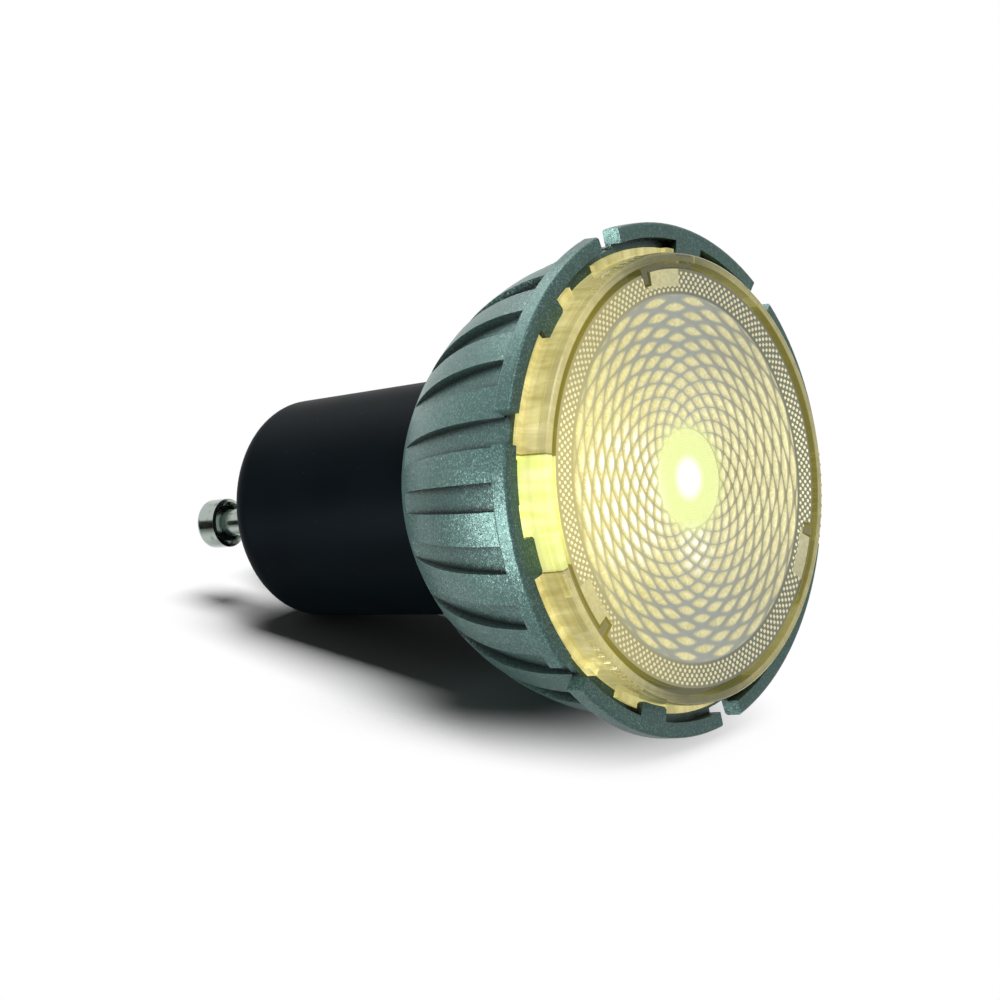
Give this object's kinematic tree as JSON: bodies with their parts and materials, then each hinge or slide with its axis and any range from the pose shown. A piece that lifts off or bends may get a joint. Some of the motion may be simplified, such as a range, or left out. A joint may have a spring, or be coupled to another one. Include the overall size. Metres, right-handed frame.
{
  "type": "gu10 spotlight bulb",
  "caption": "Reflector-shaped LED lamp: grooved metal bowl with a notched rim, clear twist-off lens ring, black barrel and twin mushroom contact pins.",
  "frame": {"origin": "on the lamp's axis in the plane of the clear ring's front face, on which it stands", "axes": "+Z along the lamp's axis from the light to the contact pins; the two pins stand on the X axis"},
  "size_m": [0.05, 0.05, 0.0589],
  "materials": {
    "flake_paint": "die-cast aluminium under grey-green metal-flake paint",
    "black_plastic": "moulded black PBT, fine satin texture",
    "nickel_plate": "nickel-plated brass, turned",
    "thermal_silicone": "soft grey silicone pad",
    "board_solder_mask": "aluminium-core board with white solder mask",
    "ceramic_base": "white alumina",
    "phosphor_gel": "yellow phosphor in silicone, glowing",
    "zinc_plate": "zinc-plated steel",
    "clear_polycarbonate": "clear moulded polycarbonate",
    "optic_polycarbonate": "clear moulded optic with small lens cells",
    "glass_epoxy": "green glass-epoxy laminate",
    "capacitor_sleeve": "shrink sleeve over an aluminium can",
    "ferrite": "ferrite drum with enamelled winding",
    "film_box": "moulded film capacitor box",
    "black_moulding": "black epoxy moulding",
    "resistor_coat": "lacquered resistor body",
    "lead_insulation": "wire insulation"
  },
  "bodies": {
    "lamp": {"heatsink": "flake_paint", "driver_housing": "black_plastic", "contact_pin_1": "nickel_plate", "contact_pin_2": "nickel_plate", "thermal_pad": "thermal_silicone", "led_board": "board_solder_mask", "led_package": "ceramic_base", "led_phosphor": "phosphor_gel", "board_screw_1": "zinc_plate", "board_screw_2": "zinc_plate", "housing_screw_1": "zinc_plate", "housing_screw_2": "zinc_plate", "driver_board": "glass_epoxy", "bulk_capacitor": "capacitor_sleeve", "output_capacitor": "capacitor_sleeve", "power_inductor": "ferrite", "film_capacitor": "film_box", "bridge_rectifier": "black_moulding", "driver_chip": "black_moulding", "fusible_resistor": "resistor_coat", "led_lead_1": "lead_insulation", "led_lead_2": "lead_insulation", "pin_lead_1": "lead_insulation", "pin_lead_2": "lead_insulation"},
    "lens_cover": {"lens_cup": "clear_polycarbonate", "collimator_lens": "optic_polycarbonate"}
  },
  "joints": [
    {"name": "lens_twist", "type": "hinge", "parent": "lamp", "child": "lens_cover", "pos_m": [0, 0, 0], "axis": [0, 0, 1], "range_deg": [-18, 0]}
  ]
}
